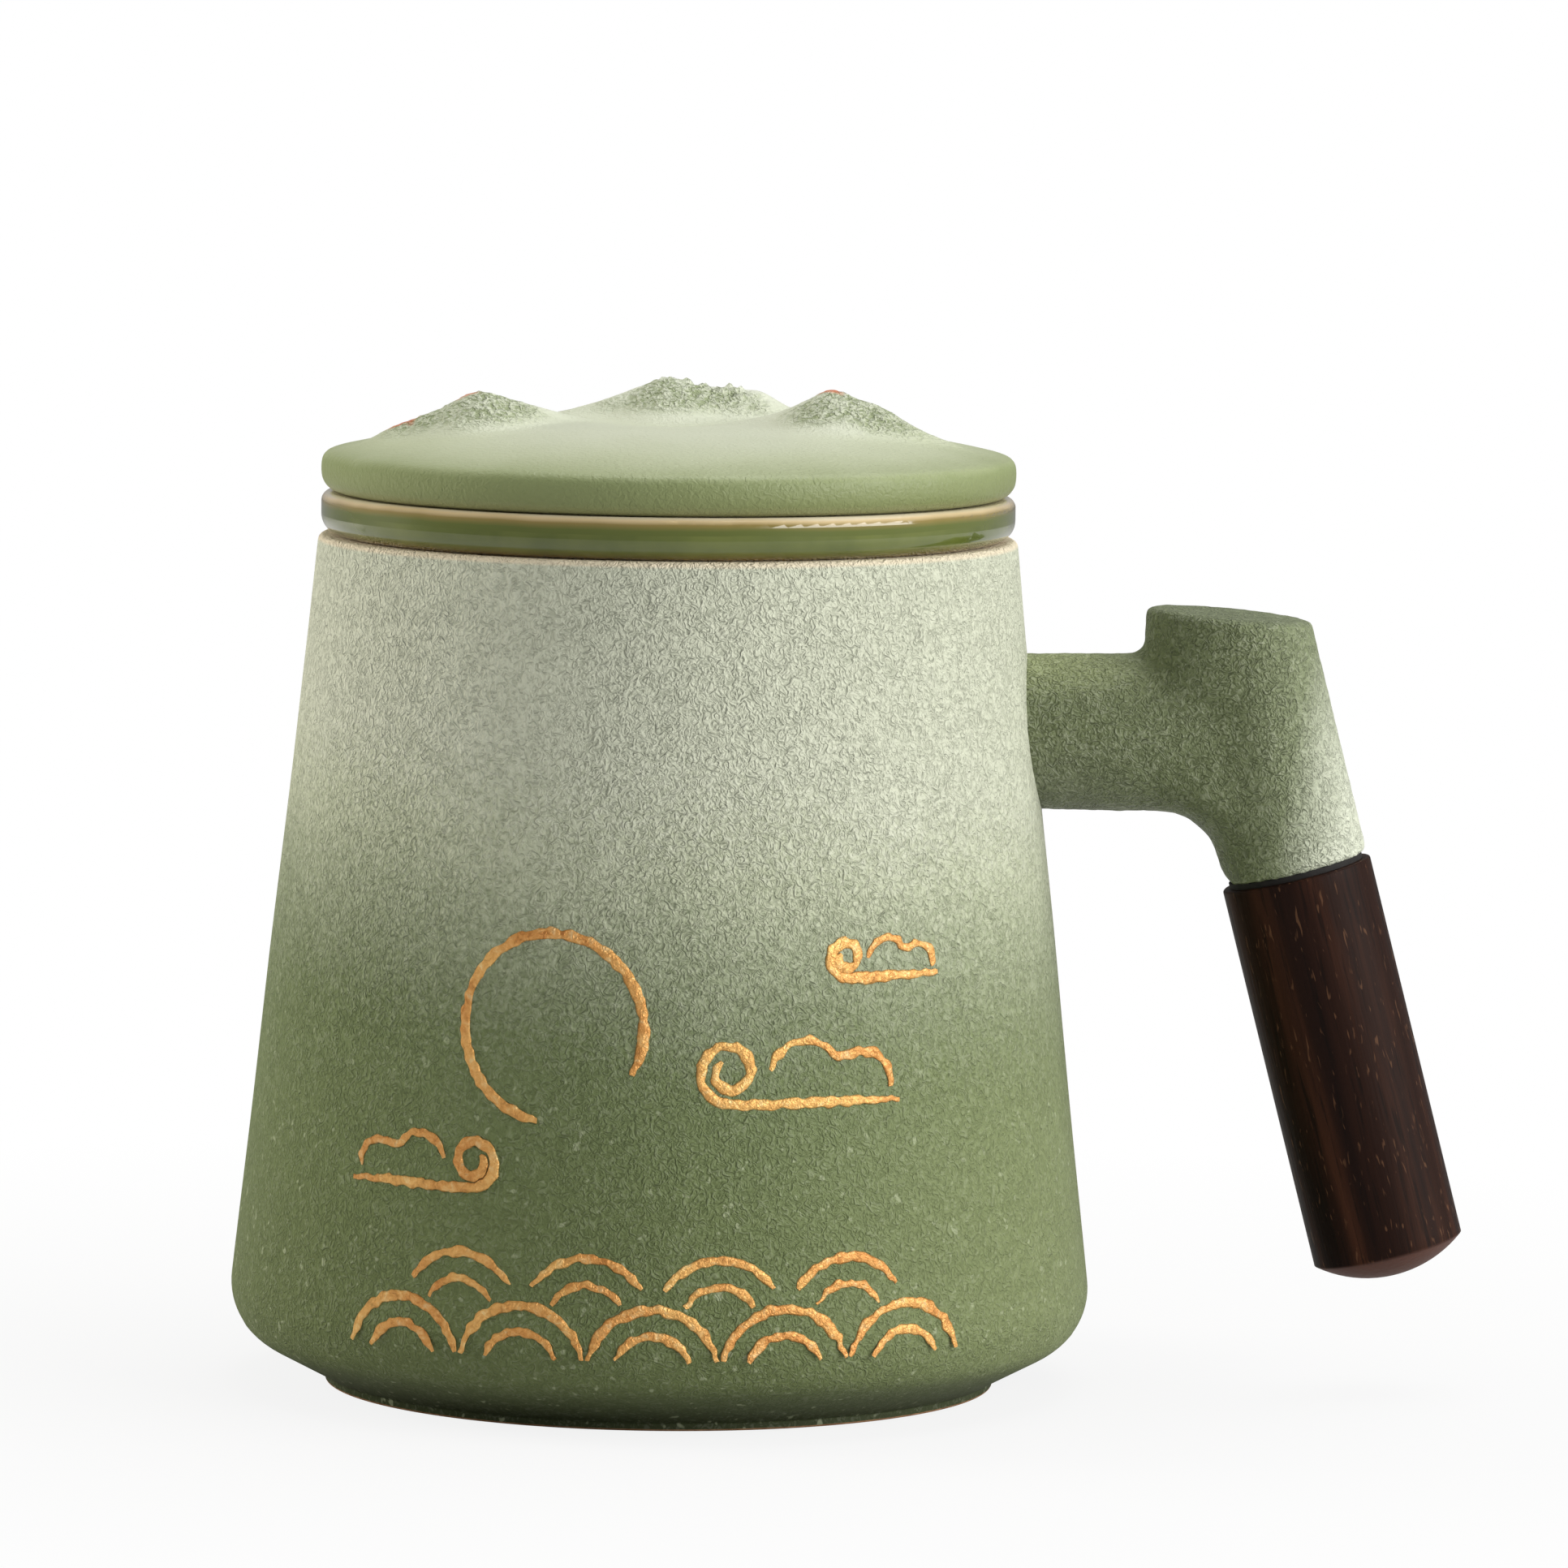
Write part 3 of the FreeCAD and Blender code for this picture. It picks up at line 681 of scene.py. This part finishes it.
def make_lid_shell():
    """The lid in one even skin, with crumbly faces on the mountains and bare clay on their tips."""
    bm = remeshed(copy_of_node("lid"), LID_VOXEL)
    smooth(bm, bm.verts[:], LID_SMOOTHING)
    bm.normal_update()
    crag_layer = bm.verts.layers.float.new("crag")
    bare_layer = bm.verts.layers.float.new("bare")
    for vert in bm.verts:
        above = vert.co.z - dome_height(vert.co.xy.length)
        if vert.normal.z < 0.1 or above < RELIEF_START:
            continue
        lift = min(1.0, (above - RELIEF_START) / (RELIEF_FULL - RELIEF_START))
        patch = max(patch_share(vert.co, *patch) for patch in CRUMBLY)
        vert[crag_layer] = lift * patch
        ridge = lift * patch_share(vert.co, *JAGGED)
        rough = noise.noise(vert.co * 850.0) * 0.6 + noise.noise(vert.co * 1700.0) * 0.4
        vert.co += vert.normal * rough * (lift * patch * CRUMBLE_DEPTH + ridge * JAGGED_DEPTH)
        vert[bare_layer] = max(bare_tip(vert.co, x, y, reach) for x, y, reach in BARE_TIPS)
    return finish_piece(bm, "lid_shell", [lid_glaze()], "lid_cover", "lid")


def grip_placement():
    """Carries a shape made upright at the origin to the grip, its top at the seam."""
    return Matrix.Translation(SEAM) @ Matrix.Rotation(math.radians(180.0 - GRIP_TILT), 4, "Y")


def make_grip():
    """The turned grip: a straight barrel, a crisp shoulder and a low domed end."""
    start = GRIP_START
    end = GRIP_START + GRIP_LENGTH
    shoulder = end - GRIP_DOME
    dome_radius = (GRIP_RADIUS ** 2 + GRIP_DOME ** 2) / (2.0 * GRIP_DOME)
    corners = [
        (0.0, start + GRIP_BORE_DEPTH, 0.0),
        (GRIP_BORE, start + GRIP_BORE_DEPTH, 0.0),
        (GRIP_BORE, start, 0.0),
        (GRIP_RADIUS, start, GRIP_EDGE),
        (GRIP_RADIUS, shoulder, GRIP_EDGE / 2.0),
    ]
    for step in range(1, 12):
        radius = GRIP_RADIUS * (1.0 - step / 12.0)
        rise = math.sqrt(dome_radius ** 2 - radius ** 2) - (dome_radius - GRIP_DOME)
        corners.append((radius, shoulder + rise, 0.0))
    corners.append((0.0, end, 0.0))
    bm = turned_mesh(corners, GRIP_STEPS, spacing=1.5 * MM)
    bmesh.ops.transform(bm, matrix=grip_placement(), verts=bm.verts[:])
    return finish_piece(bm, "grip_turned", [dark_wood()], "mug", "wood_grip")


# Gold line work: strokes are (points, width), points are millimetres across and up the front

def arc_points(centre, radius, start, end, count):
    """Points on an arc, degrees counted from +X, in millimetres on the unrolled front."""
    turns = [math.radians(start + (end - start) * step / (count - 1)) for step in range(count)]
    return [(centre[0] + radius * math.cos(turn), centre[1] + radius * math.sin(turn)) for turn in turns]


def cloud(x, z, size, facing):
    """A traditional scroll cloud: a flat tail that rolls up into a spiral, with a puff over the tail."""
    tail = [(-5.6, 0.0), (-3.6, 0.06), (-1.6, 0.0), (0.0, 0.0)]
    spiral = []
    for step in range(1, 17):
        turn = math.radians(-90.0 + 31.0 * step)
        radius = 1.0 - 0.62 * step / 16.0
        spiral.append((radius * math.cos(turn), 1.0 + radius * math.sin(turn)))
    puff = arc_points((-2.35, 0.75), 1.15, 15, 150, 8) + arc_points((-4.3, 0.55), 0.95, 75, 190, 7)
    placed = []
    for stroke in (tail + spiral, puff):
        placed.append([(x + facing * size * px, z + size * pz) for px, pz in stroke])
    return placed


def gold_strokes():
    """A moon ring among scroll clouds, over two rows of scalloped waves."""
    strokes = [(arc_points((-13.0, 50.5), 11.5, -28, 262, 30), 1.05)]
    for x, z, size, facing in ((9.0, 41.5, 4.1, -1), (-23.0, 30.5, 3.3, 1), (24.0, 56.5, 2.5, -1)):
        scroll, puff = cloud(x, z, size, facing)
        strokes.append((scroll, 1.05))
        strokes.append((puff, 0.85))
    for x in (-33.0, -16.5, 0.0, 16.5, 33.0):
        strokes.append((arc_points((x, 8.6), 8.2, 14, 166, 10), 1.0))
        strokes.append((arc_points((x, 8.6), 5.0, 22, 158, 8), 0.85))
    for x in (-24.7, -8.2, 8.2, 24.7):
        strokes.append((arc_points((x, 14.6), 8.2, 34, 146, 8), 0.95))
        strokes.append((arc_points((x, 14.6), 5.0, 30, 150, 7), 0.8))
    return strokes


def stroke_mesh(points, width, seed):
    """A brushed line on the unrolled front: tapering ends, a wandering width, a low crown."""
    curve = bpy.data.curves.new("stroke_work", "CURVE")
    curve.dimensions = "3D"
    curve.bevel_depth = 1.0
    curve.bevel_resolution = 2
    curve.use_fill_caps = True
    spline = curve.splines.new("NURBS")
    spline.points.add(len(points) - 1)
    for index, (x, z) in enumerate(points):
        end = min(index, len(points) - 1 - index)
        taper = 0.45 if end == 0 else 1.0
        swell = 1.0 + 0.28 * noise.noise(Vector((seed * 7.3, index * 0.9, 0.0)))
        spline.points[index].co = (x * MM, z * MM, 0.0, 1.0)
        spline.points[index].radius = GOLD_HALF_WIDTH * width * taper * swell
    spline.order_u = 3
    spline.use_endpoint_u = True
    spline.resolution_u = 36
    work = bpy.data.objects.new("stroke_work", curve)
    bpy.context.collection.objects.link(work)
    depsgraph = bpy.context.evaluated_depsgraph_get()
    mesh = bpy.data.meshes.new_from_object(work.evaluated_get(depsgraph))
    bpy.data.objects.remove(work)
    bpy.data.curves.remove(curve)
    return mesh


def onto_wall(point):
    """Wraps a place on the unrolled front round the mug's cone; Z there is height off the glaze."""
    across, up, proud = point
    radius = wall_radius(up)
    spot = Vector((across, up, 0.0))
    across += GOLD_RAGGED * noise.noise(spot * 800.0)
    up += GOLD_RAGGED * noise.noise(spot * 800.0 + Vector((7.0, 3.0, 5.0)))
    turn = across / radius
    reach = radius - 0.5 * THROWN_WAVE + proud * GOLD_FLATNESS
    return Vector((reach * math.sin(turn), -reach * math.cos(turn), up))


def make_gold_lines():
    bm = bmesh.new()
    for seed, (points, width) in enumerate(gold_strokes()):
        mesh = stroke_mesh(points, width, seed)
        bm.from_mesh(mesh)
        bpy.data.meshes.remove(mesh)
    for vert in bm.verts:
        vert.co = onto_wall(vert.co)
    bmesh.ops.recalc_face_normals(bm, faces=bm.faces[:])
    return finish_piece(bm, "gold_lines", [gold_lustre()], "mug", None)


def dress_node(name, material):
    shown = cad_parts[name]
    shown.data.materials.clear()
    shown.data.materials.append(material)


# Studio

def soft_box(name, place_at, aim_at, size, power, colour=(1.0, 1.0, 1.0), mirrored=True):
    """A rectangular lamp; one that isn't mirrored leaves no shape of itself in glossy glaze."""
    lamp = bpy.data.lights.new(name, "AREA")
    lamp.shape = "RECTANGLE"
    lamp.size, lamp.size_y = size
    lamp.energy = power
    lamp.color = colour
    made = bpy.data.objects.new(name, lamp)
    made.location = place_at
    made.rotation_euler = (Vector(aim_at) - Vector(place_at)).to_track_quat("-Z", "Y").to_euler()
    made.visible_glossy = mirrored
    bpy.context.collection.objects.link(made)


def make_floor():
    """A pale floor that the camera sees as white, but for the soft shadow near the mug."""
    bm = bmesh.new()
    bmesh.ops.create_grid(bm, x_segments=1, y_segments=1, size=FLOOR_SIZE)
    mesh = bpy.data.meshes.new("studio_floor")
    bm.to_mesh(mesh)
    bm.free()
    floor = bpy.data.objects.new("studio_floor", mesh)
    bpy.context.collection.objects.link(floor)
    material = bpy.data.materials.new("studio_white")
    material.use_nodes = True
    tree = material.node_tree
    tree.nodes.clear()
    matte = node(tree, "ShaderNodeBsdfDiffuse", {"Color": FLOOR_GREY})
    glow = node(tree, "ShaderNodeEmission", {"Color": WHITE, "Strength": 1.0})
    seen = node(tree, "ShaderNodeLightPath").outputs["Is Camera Ray"]
    clear = share_between(tree, length_of(tree, place(tree)), 0.05, 0.24, at_low=0.86)
    mix = node(tree, "ShaderNodeMixShader", {"Fac": times(tree, seen, clear)})
    tree.links.new(matte.outputs["BSDF"], mix.inputs[1])
    tree.links.new(glow.outputs["Emission"], mix.inputs[2])
    out = node(tree, "ShaderNodeOutputMaterial")
    tree.links.new(mix.outputs["Shader"], out.inputs["Surface"])
    mesh.materials.append(material)


def make_world():
    """White where the camera sees it, and a weaker light for everything else."""
    world = bpy.data.worlds.new("studio")
    world.use_nodes = True
    bpy.context.scene.world = world
    tree = world.node_tree
    seen = node(tree, "ShaderNodeLightPath").outputs["Is Camera Ray"]
    background = tree.nodes["Background"]
    level = share_between(tree, seen, 0.0, 1.0, at_low=WORLD_LEVEL)
    tree.links.new(level, background.inputs["Strength"])
    background.inputs["Color"].default_value = WHITE


def make_camera():
    camera = bpy.data.objects.new("camera", bpy.data.cameras.new("camera"))
    camera.data.lens = CAMERA_LENS
    camera.data.sensor_width = 36.0
    camera.data.clip_start = 0.05
    camera.data.clip_end = 50.0
    turn = Matrix.Rotation(math.radians(-CAMERA_YAW), 4, "Z")
    turn = turn @ Matrix.Rotation(math.radians(90.0 - CAMERA_PITCH), 4, "X")
    turn = turn @ Matrix.Rotation(math.radians(CAMERA_ROLL), 4, "Z")
    camera.matrix_world = Matrix.Translation(CAMERA_PLACE) @ turn
    bpy.context.collection.objects.link(camera)
    bpy.context.scene.camera = camera


make_mug_shell()
make_handle_shell()
make_lid_shell()
make_grip()
make_gold_lines()
dress_node("infuser", flange_glaze())
dress_node("grip_washer", plain_finish(
    "washer_rubber", srgb(18, 16, 15), srgb(34, 31, 29), 0.8, 0.0, 900.0))
dress_node("grip_insert", plain_finish(
    "insert_brass", srgb(168, 126, 60), srgb(208, 168, 92), 0.35, 1.0, 700.0))
dress_node("grip_stud", plain_finish(
    "stud_steel", srgb(140, 140, 142), srgb(186, 186, 188), 0.32, 1.0, 700.0))
dress_node("stud_potting", plain_finish(
    "cast_epoxy", srgb(168, 150, 116), srgb(190, 172, 138), 0.5, 0.0, 300.0))

make_floor()
make_world()
soft_box("key_right", (1.1, -0.48, 0.5), OBJECT_MIDDLE, (1.3, 0.7), 16.5, (1.0, 0.99, 0.97))
soft_box("fill_left", (-1.1, 0.3, 0.32), OBJECT_MIDDLE, (0.5, 0.9), 12.5, (1.0, 0.95, 0.87),
         mirrored=False)
soft_box("top_sheet", (0.2, 0.25, 1.0), (0.0, 0.0, 0.1), (0.7, 0.7), 4.6)
make_camera()
bpy.context.scene.view_settings.view_transform = "Standard"
